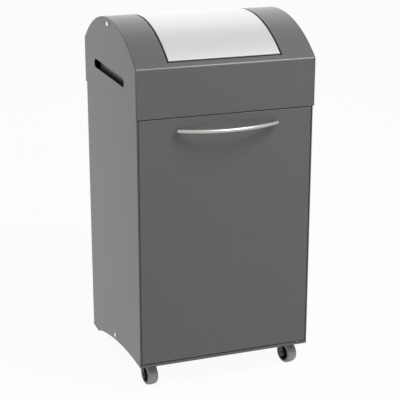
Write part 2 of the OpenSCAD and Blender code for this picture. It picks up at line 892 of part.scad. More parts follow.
// Bolts that hold both caster plates to the floor pan, heads underneath
module caster_bolts() {
    low = caster_h - plate_t;
    color(zinc) for (s = [-1, 1], x = [-plate_hole, plate_hole], y = [-plate_hole, plate_hole])
        translate([s * swivel_x + x, swivel_y + y, 0]) {
            rod_z(0, 0, low, pan_top + bolt_nut_t + bolt_stand, bolt_r);
            rod_z(0, 0, low - bolt_head_h, low, bolt_head_r);
        }
}

module caster_nuts() {
    color(zinc) for (s = [-1, 1], x = [-plate_hole, plate_hole], y = [-plate_hole, plate_hole])
        translate([s * swivel_x + x, swivel_y + y, pan_top]) nut(nut_af, bolt_nut_t, bolt_r + run_gap);
}

side_panel_left();
side_panel_right();
back_panel();
floor_pan();
front_rail();
floor_screws();
foot_pad_left();
foot_pad_right();
hood_shell();
hood_cheek_left();
hood_cheek_right();
hood_nuts();
flap_axle();
axle_cap_left();
axle_cap_right();
axle_collars();
flap_panel();
flap_bush_left();
flap_bush_right();
door_panel();
door_stiffener();
door_bush_top();
door_bush_bottom();
strike_plate();
hinge_pin_top();
hinge_pin_bottom();
catch_housing();
catch_magnet();
handle_bow();
handle_screws();
liner_bin();
liner_runner_left();
liner_runner_right();
liner_ears();
bail_wire();
bail_grip();
caster_plate(-1);  // caster_plate_left
caster_kingpin(-1);  // caster_kingpin_left
caster_fork(-1);  // caster_fork_left
caster_axle(-1);  // caster_axle_left
caster_wheel(-1);  // caster_wheel_left
caster_tyre(-1);  // caster_tyre_left
caster_plate(1);  // caster_plate_right
caster_kingpin(1);  // caster_kingpin_right
caster_fork(1);  // caster_fork_right
caster_axle(1);  // caster_axle_right
caster_wheel(1);  // caster_wheel_right
caster_tyre(1);  // caster_tyre_right
caster_bolts();
caster_nuts();
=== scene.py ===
"""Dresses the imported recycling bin: folded sheet skins, swing flap, bow handle, casters, inner bin."""

import json
import math
from typing import NamedTuple

import bmesh
import bpy
from bpy.props import FloatProperty, FloatVectorProperty, IntProperty, PointerProperty
from bpy.types import Operator, Panel, PropertyGroup
from mathutils import Matrix, Vector


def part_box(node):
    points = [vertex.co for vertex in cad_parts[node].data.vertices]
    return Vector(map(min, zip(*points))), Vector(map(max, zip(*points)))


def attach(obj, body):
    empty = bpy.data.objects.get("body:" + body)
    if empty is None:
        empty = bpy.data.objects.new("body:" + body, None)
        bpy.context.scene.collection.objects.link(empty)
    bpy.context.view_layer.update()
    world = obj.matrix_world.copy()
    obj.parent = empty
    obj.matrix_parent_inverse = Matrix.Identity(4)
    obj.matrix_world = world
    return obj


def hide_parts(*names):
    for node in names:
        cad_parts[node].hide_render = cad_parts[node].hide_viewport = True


bl_info = {
    "name": "Recycling Bin Dressing",
    "version": (1, 0, 0),
    "blender": (4, 5, 0),
    "location": "3D View > Sidebar > Bin",
    "description": "Models the skins, handle, casters and inner bin of a sheet-steel recycling bin",
    "category": "Object",
}

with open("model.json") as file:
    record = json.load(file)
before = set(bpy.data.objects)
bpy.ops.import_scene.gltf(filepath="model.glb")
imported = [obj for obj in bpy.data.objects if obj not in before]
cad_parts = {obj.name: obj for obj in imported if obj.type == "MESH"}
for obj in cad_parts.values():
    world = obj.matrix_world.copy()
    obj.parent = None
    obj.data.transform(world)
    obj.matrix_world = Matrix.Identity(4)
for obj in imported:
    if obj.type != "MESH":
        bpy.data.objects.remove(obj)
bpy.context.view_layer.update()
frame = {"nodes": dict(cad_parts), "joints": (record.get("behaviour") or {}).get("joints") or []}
JOINTS = {joint["name"]: joint for joint in frame["joints"]}
SIDES = (("left", -1), ("right", 1))

SIDE_LOW, SIDE_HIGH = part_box("side_panel_left")
LIFT_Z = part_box("back_panel")[0].z
CHEEK_LOW, CHEEK_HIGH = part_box("hood_cheek_left")
SHELL_LOW, SHELL_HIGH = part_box("hood_shell")
FLAP_LOW, FLAP_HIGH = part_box("flap_panel")
DOOR_LOW, DOOR_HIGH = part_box("door_panel")
BOW_LOW, BOW_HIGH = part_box("handle_bow")
LINER_LOW, LINER_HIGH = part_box("liner_bin")

SIDE_OUT = -SIDE_LOW.x
MID_Y = (CHEEK_LOW.y + CHEEK_HIGH.y) / 2
SEAM_Z = CHEEK_LOW.z
TOP_Z = CHEEK_HIGH.z
QUARTER = math.pi / 2
ROUND = 2 * math.pi

MERGE = 1e-6  # points that lie closer than this are one point
NEAR = 2e-5  # a point that lies closer than this to a line is on it
NEAR_ANGLE = 1e-4  # the same, for an angle on the dome
SIDE_SHARE = 0.97  # the side sheets are drawn this thin, to clear what lies behind them
BORE_R = 0.00405  # radius of a hole round an 8 mm axle or kingpin
FOLD_STEPS = 4  # steps round a fold in thick sheet
RIM_STEPS = 2  # steps round a cut edge
SHARP = math.radians(40)  # edges sharper than this are cut edges
LIGHT_EDGE_WIDTH = 0.0015  # width of the strip along an edge that is made lighter: wear, and on the paint also a painted highlight
LIGHT_EDGE_MATCH = 0.85  # how well rounded and true surface agree where an edge is made lightest


# Sizes and colours


def number(name, description, default, low, high, **kind):
    """A number with its limits, and with its unit where it has one."""
    return FloatProperty(name=name, description=description, default=default, min=low, max=high, **kind)


def metres(*given):
    """A size in metres."""
    return number(*given, unit="LENGTH", precision=5)


def tint(name, description, default):
    """A colour as shares of red, green and blue."""
    return FloatVectorProperty(name=name, description=description, default=default, min=0, max=1,
                               subtype="COLOR")


class BinSheet(PropertyGroup):
    wall: metres("Sheet", "Thickness of the cabinet's steel sheet", 0.0015, 0.0005, 0.003)
    flap_wall: metres("Flap sheet", "Thickness of the flap's sheet", 0.0012, 0.0005, 0.003)
    liner_wall: metres("Inner bin sheet", "Thickness of the inner bin's wall", 0.001, 0.0005, 0.003)
    fold: metres("Fold", "Outer radius of a fold in the side panels", 0.0022, 0.0005, 0.006)
    door_fold: metres("Door fold", "Outer radius of the door's folds", 0.0026, 0.0005, 0.006)
    flap_fold: metres("Flap fold", "Outer radius of the flap's folds", 0.0014, 0.0005, 0.006)
    pocket_fold: metres("Pocket fold", "Radius of the folds behind the slot", 0.0025, 0.0005, 0.006)
    rim: metres("Edge", "Rounding of a cut edge", 0.0003, 0.0, 0.001)
    foot: metres("Foot", "Length of the flat foot behind the arch", 0.048, 0.02, 0.1)
    hem: metres("Hem", "Width of the hem along the front edge", 0.012, 0.004, 0.02)
    back_flange: metres("Back flange", "Width of the flange along the back edge", 0.025, 0.01, 0.05)
    door_lip: metres("Door lip", "Width of the lips behind the door", 0.012, 0.008, 0.02)


class BinHood(PropertyGroup):
    front: metres("Hood front", "Height of the hood's front from seam to crease", 0.104, 0.08, 0.14)
    crease_fold: metres("Crease", "Outer radius of the fold along the crease", 0.005, 0.001, 0.008)
    opening: metres("Gap", "Gap all round the flap", 0.003, 0.001, 0.006)
    opening_flange: metres("Opening flange", "Depth of the flange beside the flap", 0.0075, 0.002, 0.02)
    slot_length: metres("Slot length", "Length of the grip slot", 0.24, 0.1, 0.3)
    slot_height: metres("Slot height", "Height of the grip slot", 0.019, 0.01, 0.03)
    slot_wall: metres("Slot wall", "Height of the wall behind the grip slot", 0.032, 0.02, 0.04)
    slot_rise: metres("Slot rise", "Height of the slot's middle above the seam", 0.06, 0.03, 0.08)
    flap_side: metres("Flap flange", "Depth of the flap's side flanges", 0.022, 0.01, 0.03)
    flap_end: metres("Flap lip", "Depth of the flap's end lips", 0.009, 0.004, 0.015)
    axle_bore: metres("Axle hole", "Radius of the axle's hole in a cheek", BORE_R, 0.002, 0.006)


class BinHandle(PropertyGroup):
    length: metres("Length", "Length of the bow handle from end to end", 0.224, 0.16, 0.26)
    reach: metres("Reach", "Reach of the bar's middle in front of the door", 0.038, 0.03, 0.05)
    end_reach: metres("End reach", "Reach of the bar's ends in front of the door", 0.008, 0.007, 0.014)
    end_round: metres("End rounding", "Rounding of the bar's blunt ends", 0.0011, 0.0003, 0.003)
    post_in: metres("Post inset", "Distance of the posts from the bar's ends", 0.01, 0.008, 0.03)
    post: metres("Post", "Radius of the handle's posts", 0.0036, 0.002, 0.006)
    segments: IntProperty(name="Segments", description="Steps along the bow",
                          default=96, min=12, max=200)


class BinCaster(PropertyGroup):
    tyre_width: metres("Tyre width", "Width of the tyre", 0.025, 0.014, 0.028)
    tyre_wall: metres("Tyre thickness", "Thickness of the tyre on its rim", 0.0075, 0.003, 0.01)
    crown: metres("Crown", "Radius of the tread's crown", 0.03, 0.016, 0.1)
    hub: metres("Hub", "Radius of the wheel's hub", 0.008, 0.005, 0.012)
    axle: metres("Axle", "Radius of the wheel's axle", 0.003, 0.002, 0.005)
    leg_gap: metres("Leg gap", "Gap between the tyre and a leg of the fork", 0.0015, 0.001, 0.004)
    leg_wall: metres("Leg", "Thickness of the fork's steel", 0.002, 0.001, 0.003)


class BinFinish(PropertyGroup):
    paint: tint("Paint", "Dark grey powder coat", (0.108, 0.109, 0.112))
    satin: tint("Satin steel", "Brushed steel of the flap", (0.60, 0.596, 0.588))
    bar: tint("Bar steel", "Ground steel of the handle", (0.47, 0.46, 0.435))
    bright: tint("Bright steel", "Screw heads and axle caps", (0.80, 0.79, 0.77))
    zinc: tint("Zinc", "Plated and galvanised steel", (0.46, 0.48, 0.50))
    black: tint("Black", "Black plastic and black steel", (0.012, 0.012, 0.013))
    nylon: tint("Nylon", "Natural nylon bushes", (0.68, 0.66, 0.60))
    tread: tint("Tread", "Grey rubber tyres", (0.33, 0.33, 0.327))


class BinStage(PropertyGroup):
    camera_place: FloatVectorProperty(name="Camera", description="Place of the camera", subtype="XYZ",
                                      default=(-0.8596, -2.4154, 1.2103), unit="LENGTH")
    camera_yaw: number("Yaw", "Turn of the camera from the bin's depth axis", 0.3437, -math.pi, math.pi,
                       subtype="ANGLE")
    camera_pitch: number("Pitch", "Downward tilt of the camera", 0.2991, -QUARTER, QUARTER,
                         subtype="ANGLE")
    lens: number("Lens", "Focal length for a 36 mm sensor", 105.6, 20, 300)
    shift: number("Shift", "Shift that frames the bin as photographed", -0.05, -0.1, 0.1)
    ambient: number("Ambient", "Strength of the surrounding light", 0.26, 0, 2)
    key: number("Key", "Watts of the lamp at the left", 7, 0, 400)
    front: number("Front", "Watts of the lamp high in front", 52, 0, 400)
    back: number("Back", "Watts of the lamp behind the bin", 11, 0, 400)


# Mesh work


def spaced(start, end, steps):
    """Numbers in even steps from start to end."""
    return [start + (end - start) * i / steps for i in range(steps + 1)]


def arc_points(centre, radius, start, end, steps):
    """Points on an arc in the plane, as pairs."""
    return [(centre[0] + radius * math.cos(a), centre[1] + radius * math.sin(a))
            for a in spaced(start, end, steps)]


def arc_radius(half_chord, rise):
    """Radius of the arc that rises so far over half its chord."""
    return (half_chord * half_chord + rise * rise) / (2 * rise)


def only_verts(made):
    return [item for item in made if isinstance(item, bmesh.types.BMVert)]


def open_edges(bm):
    """The edges that have a face on one side only."""
    return [edge for edge in bm.edges if edge.is_boundary]


def level(edges, height):
    """Those edges that lie level at a height."""
    return [edge for edge in edges if all(abs(vert.co.z - height) < NEAR for vert in edge.verts)]


def span(edge, axis):
    """How far an edge runs along an axis: 0 for X, 1 for Y, 2 for Z."""
    return abs(edge.verts[0].co[axis] - edge.verts[1].co[axis])


def chain(bm, points, closed=False):
    """Draws points as a chain of edges."""
    verts = [bm.verts.new(point) for point in points]
    ends = verts[1:] + verts[:1] if closed else verts[1:]
    return [bm.edges.new(pair) for pair in zip(verts, ends)]


def pull(bm, edges, move):
    """Extrudes edges into a strip and moves the new ones by a vector or by a rule for a point."""
    made = bmesh.ops.extrude_edge_only(bm, edges=edges)["geom"]
    verts = only_verts(made)
    if callable(move):
        for vert in verts:
            vert.co = move(vert.co)
    else:
        bmesh.ops.translate(bm, verts=verts, vec=move)
    fresh = set(verts)
    return [item for item in made
            if isinstance(item, bmesh.types.BMEdge) and fresh.issuperset(item.verts)]


def round_edges(bm, edges, width, steps=3):
    """Rounds edges as a fold and returns its faces."""
    return bmesh.ops.bevel(bm, geom=list(edges), offset=width, offset_type="OFFSET", segments=steps,
                           profile=0.5, affect="EDGES", clamp_overlap=True, material=-1)["faces"]


def face_towards(bm, direction):
    """Makes a skin's faces agree, and turns them all so that the skin looks along a direction."""
    bmesh.ops.remove_doubles(bm, verts=bm.verts, dist=MERGE)
    bmesh.ops.recalc_face_normals(bm, faces=bm.faces)
    bm.normal_update()
    way = Vector(direction)
    best = max(bm.faces, key=lambda face: abs(face.normal.dot(way)) * face.calc_area())
    if best.normal.dot(way) < 0:
        bmesh.ops.reverse_faces(bm, faces=bm.faces)


def mirror_side(bm):
    """Turns a left-hand shape into its right-hand twin."""
    bmesh.ops.scale(bm, verts=bm.verts, vec=(-1, 1, 1))
    bmesh.ops.reverse_faces(bm, faces=bm.faces)


def block(bm, low, high):
    """Draws a box from corner to corner."""
    bmesh.ops.create_cube(bm, size=1)
    bmesh.ops.scale(bm, verts=bm.verts, vec=high - low)
    bmesh.ops.translate(bm, verts=bm.verts, vec=(low + high) / 2)


def turned(bm, outline, steps=64):
    """Turns (place along X, radius) pairs round the X axis: a ring, or a solid if they start on it."""
    edges = chain(bm, [(x, 0, r) for x, r in outline], outline[0][1] > 0)
    verts = list({vert for edge in edges for vert in edge.verts})
    bmesh.ops.spin(bm, geom=verts + edges, cent=(0, 0, 0), axis=(1, 0, 0), dvec=(0, 0, 0),
                   angle=ROUND, steps=steps, use_merge=True, use_duplicate=False)
    bmesh.ops.remove_doubles(bm, verts=bm.verts, dist=MERGE)
    bmesh.ops.recalc_face_normals(bm, faces=bm.faces)


def thicken(bm, points, move):
    """Makes a plate: a face through the points, extruded by a vector."""
    face = bm.faces.new([bm.verts.new(point) for point in points])
    made = bmesh.ops.extrude_face_region(bm, geom=[face])["geom"]
    bmesh.ops.translate(bm, verts=only_verts(made), vec=move)
    bmesh.ops.recalc_face_normals(bm, faces=bm.faces)


def place(bm, origin, turn=0.0, axis="Z"):
    """Moves a shape drawn at the origin to its place, turned about an axis first."""
    bmesh.ops.transform(bm, verts=bm.verts,
                        matrix=Matrix.Translation(origin) @ Matrix.Rotation(turn, 4, axis))


def as_mesh(bm, name):
    """Turns a finished shape into a mesh."""
    mesh = bpy.data.meshes.new(name)
    bm.to_mesh(mesh)
    bm.free()
    return mesh


def join_into(bm, part):
    """Adds a finished shape to another."""
    scrap = as_mesh(part, "scrap")
    bm.from_mesh(scrap)
    bpy.data.meshes.remove(scrap)


def add_object(name, data):
    """Puts an object into the scene."""
    item = bpy.data.objects.new(name, data)
    bpy.context.scene.collection.objects.link(item)
    return item


def add_piece(bm, name, body, nodes, look, wall=0.0, rim=0.0):
    """Makes the mesh a piece that rides on its body and stands for its CAD nodes."""
    mesh = as_mesh(bm, name)
    mesh.shade_smooth()
    mesh.materials.append(finish(look))
    piece = add_object(name, mesh)
    if wall:
        sheet = piece.modifiers.new("Sheet", "SOLIDIFY")
        sheet.thickness = wall
        sheet.offset = -1
        sheet.use_even_offset = True
    if rim:
        edge = piece.modifiers.new("Edge", "BEVEL")
        edge.width = rim
        edge.segments = RIM_STEPS
        edge.limit_method = "ANGLE"
        edge.angle_limit = SHARP
        edge.use_clamp_overlap = False
        edge.harden_normals = True
    flat = piece.modifiers.new("Flat", "WEIGHTED_NORMAL")
    flat.keep_sharp = True
    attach(piece, body)
    if nodes:
        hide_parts(*nodes)


# Finishes


class Finish(NamedTuple):
    """A finish: its material, the frame's slot for it, which is not used, and its colour's name in
    BinFinish.

    The tone wavers in clouds by a share of itself. The grain is a bump, with its depth in metres, and
    the gloss wavers with it by the spread. wear_and_highlight is how much lighter edges are made: wear
    of the finish, and on the paint also a painted highlight. fold_shade_and_dull is how much darker the
    folds are painted, a painted shade that takes their glint away, and half of it is added to their
    roughness."""
    material: str
    slot: str
    colour: str
    roughness: float
    tone: float
    clouds: float
    grain: tuple
    depth: float
    metallic: float = 0.0
    spread: float = 0.05
    wear_and_highlight: float = 0.0
    fold_shade_and_dull: float = 0.0


FINISHES = {
    # the paint's edges are made lighter: wear of the coat, and a painted highlight along the edges and
    # crease
    "paint": Finish("grey_powder_coat", "paint", "paint", roughness=0.32, spread=0.04,
                    tone=0.02, clouds=14, grain=(700, 700, 700), depth=1.2e-5, wear_and_highlight=0.35),
    # the satin's folds are painted darker: a painted shade that takes the glint off the flap's folded
    # edges
    "satin": Finish("satin_sheet", "satin_steel", "satin", metallic=1, roughness=0.36,
                    tone=0.015, clouds=6, grain=(6, 900, 900), depth=3e-6, fold_shade_and_dull=0.7),
    "ground": Finish("ground_bar", "satin_steel", "bar", metallic=1, roughness=0.3,
                     tone=0.03, clouds=25, grain=(40, 900, 900), depth=3e-6),
    "bright": Finish("polished_steel", "bright_steel", "bright", metallic=1, roughness=0.2,
                     tone=0.02, clouds=60, grain=(900, 900, 900), depth=2e-6),
    "zinc": Finish("zinc_plate", "zinc_steel", "zinc", metallic=1, roughness=0.45, spread=0.08,
                   tone=0.12, clouds=45, grain=(300, 300, 300), depth=5e-6, wear_and_highlight=0.25),
    "moulding": Finish("black_moulding", "black_plastic", "black", roughness=0.5, spread=0.06,
                       tone=0.1, clouds=40, grain=(1500, 1500, 1500), depth=1.5e-5, wear_and_highlight=1.5),
    "lacquer": Finish("black_lacquer", "black_steel", "black", roughness=0.38, spread=0.06,
                      tone=0.1, clouds=30, grain=(900, 900, 900), depth=8e-6, wear_and_highlight=3.0),
    "nylon": Finish("natural_nylon", "nylon", "nylon", roughness=0.45,
                    tone=0.03, clouds=50, grain=(1200, 1200, 1200), depth=6e-6),
    "rubber": Finish("grey_rubber", "tread", "tread", roughness=0.62, spread=0.06,
                     tone=0.06, clouds=70, grain=(1100, 1100, 1100), depth=2.5e-5, wear_and_highlight=0.15),
}
CARRIED = {
    "paint": ("back_panel", "floor_pan", "front_rail", "door_stiffener"),
    "zinc": ("hood_nuts", "flap_axle", "axle_collars", "strike_plate", "hinge_pin_top",
             "hinge_pin_bottom", "catch_magnet", "handle_screws", "liner_runner_left",
             "liner_runner_right", "liner_ears", "caster_plate_left", "caster_plate_right",
             "caster_kingpin_left", "caster_kingpin_right", "caster_bolts", "caster_nuts"),
    "moulding": ("foot_pad_left", "foot_pad_right", "catch_housing"),
    "nylon": ("flap_bush_left", "flap_bush_right", "door_bush_top", "door_bush_bottom"),
}


def feed(tree, socket, value):
    """Sets a socket to a value, or links it to another node's output."""
    if isinstance(value, bpy.types.NodeSocket):
        tree.links.new(value, socket)
    else:
        socket.default_value = value


def add_node(tree, kind, inputs, **settings):
    """Adds a shader node with its settings and its inputs, by name or number."""
    node = tree.nodes.new("ShaderNode" + kind)
    for name, value in settings.items():
        setattr(node, name, value)
    for socket, value in inputs.items():
        feed(tree, node.inputs[socket], value)
    return node


def mixed(tree, factor, tone, other):
    """Mixes two colours by a factor."""
    mix = add_node(tree, "Mix", {"Factor": factor}, data_type="RGBA")
    for name, value in (("A", tone), ("B", other)):
        feed(tree, next(s for s in mix.inputs if s.name == name and s.type == "RGBA"), value)
    return next(s for s in mix.outputs if s.type == "RGBA")


def scaled(colour, factor):
    """A colour made lighter or darker, with its alpha."""
    return [min(1, channel * factor) for channel in colour] + [1]


def lighter_edges(tree, tone, lighter_tone):
    """Makes the tone lighter along the edges, where the rounded surface leaves the true one: wear of the
    finish, and on the paint also a painted highlight along its edges.
    """
    rounded = add_node(tree, "Bevel", {"Radius": LIGHT_EDGE_WIDTH}, samples=6)
    true = add_node(tree, "NewGeometry", {})
    match = add_node(tree, "VectorMath",
                     {0: rounded.outputs["Normal"], 1: true.outputs["Normal"]}, operation="DOT_PRODUCT")
    edge_mask = add_node(tree, "MapRange",
                   {"Value": match.outputs["Value"], "From Min": 1.0, "From Max": LIGHT_EDGE_MATCH})
    return mixed(tree, edge_mask.outputs["Result"], tone, lighter_tone)


def finish(key):
    """Gives a finish's material, and makes it procedurally on its first use."""
    look = FINISHES[key]
    material = bpy.data.materials.get(look.material)
    if material:
        return material
    colour = getattr(bpy.context.scene.bin_finish, look.colour)
    material = bpy.data.materials.new(look.material)
    material.use_nodes = True
    tree = material.node_tree
    where = add_node(tree, "TexCoord", {}).outputs["Object"]

    clouds = add_node(tree, "TexNoise", {"Vector": where, "Scale": look.clouds, "Detail": 4})
    tone = mixed(tree, clouds.outputs["Fac"],
                 scaled(colour, 1 - look.tone), scaled(colour, 1 + look.tone))
    # Lighter edges: wear, and on the paint also a painted highlight.
    if look.wear_and_highlight:
        tone = lighter_edges(tree, tone, scaled(colour, 1 + look.wear_and_highlight))
    stretch = add_node(tree, "Mapping", {"Vector": where, "Scale": look.grain})
    pores = add_node(tree, "TexNoise",
                     {"Vector": stretch.outputs["Vector"], "Scale": 1, "Detail": 2}).outputs["Fac"]
    bump = add_node(tree, "Bump", {"Height": pores, "Strength": 1, "Distance": look.depth})
    gloss = add_node(tree, "MapRange",
                     {"Value": pores, "To Min": look.roughness - look.spread,
                      "To Max": look.roughness + look.spread}).outputs["Result"]
    # The folds are painted darker, a painted shade that takes the lamp's glint off the flap's folded
    # edges and darkens the gap beside them; they are also made rougher.
    if look.fold_shade_and_dull:
        fold = add_node(tree, "Attribute", {}, attribute_name="fold").outputs["Fac"]
        tone = mixed(tree, fold, tone, scaled(colour, 1 - look.fold_shade_and_dull))
        gloss = add_node(tree, "Math", {0: fold, 1: look.fold_shade_and_dull / 2, 2: gloss},
                         operation="MULTIPLY_ADD").outputs[0]

    shader = tree.nodes["Principled BSDF"]
    for name, value in (("Base Color", tone), ("Metallic", look.metallic), ("Roughness", gloss),
                        ("Normal", bump.outputs["Normal"])):
        feed(tree, shader.inputs[name], value)
    return material


# The hood's form


def dome():
    """Radius of the dome, height of its centre and half the angle from crease to crease."""
    half = (CHEEK_HIGH.y - CHEEK_LOW.y) / 2
    radius = arc_radius(half, TOP_Z - SEAM_Z - bpy.context.scene.bin_hood.front)
    return radius, TOP_Z - radius, math.asin(half / radius)


def on_dome(angle):
    """A point of the dome at an angle from its top, as (y, z)."""
    radius, centre_z, _ = dome()
    return MID_Y + radius * math.sin(angle), centre_z + radius * math.cos(angle)


def towards_axis(depth):
    """A rule that moves a point of the dome towards the dome's axis."""
    radius, centre_z, _ = dome()
    share = (radius - depth) / radius
    return lambda point: Vector((point.x, MID_Y + (point.y - MID_Y) * share,
                                 centre_z + (point.z - centre_z) * share))


def flap_angle():
    """Half the angle that the flap covers."""
    return math.asin((FLAP_HIGH.y - MID_Y) / dome()[0])


# The pieces


class BIN_OT_side_panels(Operator):
    """Folds the two side panels with front hem, back flange, arched lower edge and back foot"""
    bl_idname = "bin.side_panels"
    bl_label = "Side panels"

    def execute(self, context):
        sheet = context.scene.bin_sheet
        for side, sign in SIDES:
            bm = bmesh.new()
            self.fold_panel(bm, sheet)
            if sign > 0:
                mirror_side(bm)
            add_piece(bm, f"side_sheet_{side}", "cabinet", [f"side_panel_{side}"], "paint",
                      wall=sheet.wall * SIDE_SHARE, rim=sheet.rim)
        return {"FINISHED"}

    def fold_panel(self, bm, sheet):
        """Draws the panel's plan from back to front along the arch, and pulls it up to the seam."""
        front, back, outer = SIDE_LOW.y, SIDE_HIGH.y, SIDE_LOW.x
        run = back - front - sheet.foot
        arch = arc_radius(run, LIFT_Z - SIDE_LOW.z)

        def edge_z(y):
            if y >= front + run:
                return SIDE_LOW.z
            return max(SIDE_LOW.z, LIFT_Z - arch + math.sqrt(arch * arch - (y - front) ** 2))

        bend, hem = sheet.fold, sheet.wall
        foot_steps, arch_steps, hem_steps, strip_steps = 4, 48, 6, 2
        plan = [(outer + sheet.back_flange, back)]
        plan += arc_points((outer + bend, back - bend), bend, QUARTER, 2 * QUARTER, FOLD_STEPS)
        plan += [(outer, y) for y in spaced(back - bend, front + run, foot_steps)[1:]]
        plan += [(outer, y) for y in spaced(front + run, front + hem, arch_steps)[1:]]
        plan += arc_points((outer + hem, front + hem), hem, 2 * QUARTER, 4 * QUARTER, hem_steps)[1:]
        plan += [(outer + 2 * hem, y) for y in spaced(front + hem, front + sheet.hem, strip_steps)[1:]]
        lower = chain(bm, [(x, y, edge_z(y)) for x, y in plan])
        pull(bm, lower, lambda point: Vector((point.x, point.y, SIDE_HIGH.z)))
        face_towards(bm, (-1, 0, 0))


class BIN_OT_hood_shell(Operator):
    """Bends the hood's sheet from front to back over the dome and cuts it out for the flap"""
    bl_idname = "bin.hood_shell"
    bl_label = "Hood shell"

    def execute(self, context):
        sheet, hood = context.scene.bin_sheet, context.scene.bin_hood
        radius, centre_z, crease = dome()
        gap = flap_angle() + hood.opening / radius
        side = FLAP_HIGH.x + hood.opening
        strip_steps, opening_steps, crease_steps = 5, 48, 6
        angles = spaced(-crease, -gap, strip_steps) + spaced(-gap, gap, opening_steps)[1:]
        angles += spaced(gap, crease, strip_steps)[1:]
        profile = [(SHELL_LOW.y, SEAM_Z)] + [on_dome(a) for a in angles] + [(SHELL_HIGH.y, SEAM_Z)]
        bm = bmesh.new()
        edges = chain(bm, [(SHELL_LOW.x, y, z) for y, z in profile])
        for step in (-side - SHELL_LOW.x, 2 * side, SHELL_HIGH.x - side):
            edges = pull(bm, edges, (step, 0, 0))

        def angle(point):
            return abs(math.atan2(point.y - MID_Y, point.z - centre_z))

        def in_opening(point):
            return abs(point.x) < side and angle(point) < gap and point.z > centre_z

        def on_side(point):
            return abs(abs(point.x) - side) < NEAR and angle(point) < gap + NEAR_ANGLE

        doomed = [face for face in bm.faces if in_opening(face.calc_center_median())]
        bmesh.ops.delete(bm, geom=doomed, context="FACES")
        rims = [edge for edge in open_edges(bm) if all(on_side(vert.co) for vert in edge.verts)]
        pull(bm, rims, towards_axis(hood.opening_flange))
        round_edges(bm, level(bm.edges, on_dome(crease)[1]), hood.crease_fold, crease_steps)
        face_towards(bm, (0, -1, 0))
        add_piece(bm, "hood_sheet", "cabinet", ["hood_shell"], "paint", wall=sheet.wall, rim=sheet.rim)
        self.weld_studs(sheet.wall)
        return {"FINISHED"}

    def weld_studs(self, inner):
        """Four chamfered studs inside the hood's front and back."""
        bm = bmesh.new()
        reach, thick, chamfer = 0.010, 0.0025, 0.0006
        outline = [(0, 0), (0, thick), (reach - chamfer, thick), (reach, thick - chamfer), (reach, 0)]
        nut_low, nut_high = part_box("hood_nuts")
        height = (nut_low.z + nut_high.z) / 2
        nut_x = (nut_high.x - nut_low.x) / 2 - (nut_high.z - nut_low.z) / math.sqrt(3)
        for x in (-nut_x, nut_x):
            for start, way in ((SHELL_LOW.y + inner, 1), (SHELL_HIGH.y - inner, -1)):
                stud = bmesh.new()
                turned(stud, outline, steps=24)
                place(stud, (x, start, height), way * QUARTER)
                join_into(bm, stud)
        add_piece(bm, "hood_studs", "cabinet", [], "zinc")


class BIN_OT_hood_cheeks(Operator):
    """Cuts the two hood cheeks with the long grip slot and folds the pocket's lip and wall behind it"""
    bl_idname = "bin.hood_cheeks"
    bl_label = "Hood cheeks"

    def execute(self, context):
        sheet, hood = context.scene.bin_sheet, context.scene.bin_hood
        for side, sign in SIDES:
            bm = bmesh.new()
            slot = self.cut_cheek(bm, hood)
            crest = SEAM_Z + hood.slot_rise + hood.slot_height / 2
            lip = pull(bm, level(slot, crest), (CHEEK_HIGH.x - sheet.wall - CHEEK_LOW.x, 0, 0))
            pull(bm, lip, (0, 0, -hood.slot_wall))
            folds = [edge for edge in level(bm.edges, crest) if len(edge.link_faces) == 2]
            round_edges(bm, folds, sheet.pocket_fold, FOLD_STEPS)
            face_towards(bm, (-1, 0, 0))
            if sign > 0:
                mirror_side(bm)
            add_piece(bm, f"cheek_sheet_{side}", "cabinet", [f"hood_cheek_{side}"], "paint",
                      wall=sheet.wall, rim=sheet.rim)
        return {"FINISHED"}

    def cut_cheek(self, bm, hood):
        """Fills the cheek's outline round its slot and its axle hole, and returns the slot's edges."""
        dome_steps, end_steps, hole_steps = 72, 12, 24
        crease, axle_z = dome()[2], JOINTS["flap_swing"]["pos_m"][2]
        half, middle = hood.slot_height / 2, SEAM_Z + hood.slot_rise
        run = hood.slot_length / 2 - half
        outline = [(CHEEK_LOW.y, SEAM_Z)] + [on_dome(a) for a in spaced(-crease, crease, dome_steps)]
        outline += [(CHEEK_HIGH.y, SEAM_Z)]
        ends = arc_points((MID_Y + run, middle), half, -QUARTER, QUARTER, end_steps)
        ends += arc_points((MID_Y - run, middle), half, QUARTER, 3 * QUARTER, end_steps)
        bore = arc_points((MID_Y, axle_z), hood.axle_bore, 0, ROUND, hole_steps)[:-1]
        edges, slot, hole = (chain(bm, [(CHEEK_LOW.x, y, z) for y, z in line], True)
                             for line in (outline, ends, bore))
        bmesh.ops.triangle_fill(bm, edges=edges + slot + hole, use_beauty=True)
        return slot


class BIN_OT_flap(Operator):
    """Curves the satin swing flap and folds its side flanges and end lips"""
    bl_idname = "bin.flap"
    bl_label = "Swing flap"

    def execute(self, context):
        sheet, hood = context.scene.bin_sheet, context.scene.bin_hood
        reach, arc_steps = flap_angle(), 60
        bm = bmesh.new()
        arc = [on_dome(angle) for angle in spaced(-reach, reach, arc_steps)]
        start = chain(bm, [(FLAP_LOW.x, y, z) for y, z in arc])
        pull(bm, start, (FLAP_HIGH.x - FLAP_LOW.x, 0, 0))
        rims = open_edges(bm)
        sides = [edge for edge in rims if span(edge, 0) < NEAR]
        ends = [edge for edge in rims if edge not in sides]
        pull(bm, sides, towards_axis(hood.flap_side))
        pull(bm, ends, towards_axis(hood.flap_end))
        # Marks the fold faces, which the satin finish paints darker as a painted shade.
        fold = bm.faces.layers.float.new("fold")
        for face in round_edges(bm, rims, sheet.flap_fold):
            face[fold] = 1
        face_towards(bm, (0, 0, 1))
        add_piece(bm, "flap_sheet", "flap", ["flap_panel"], "satin", wall=sheet.flap_wall)
        return {"FINISHED"}


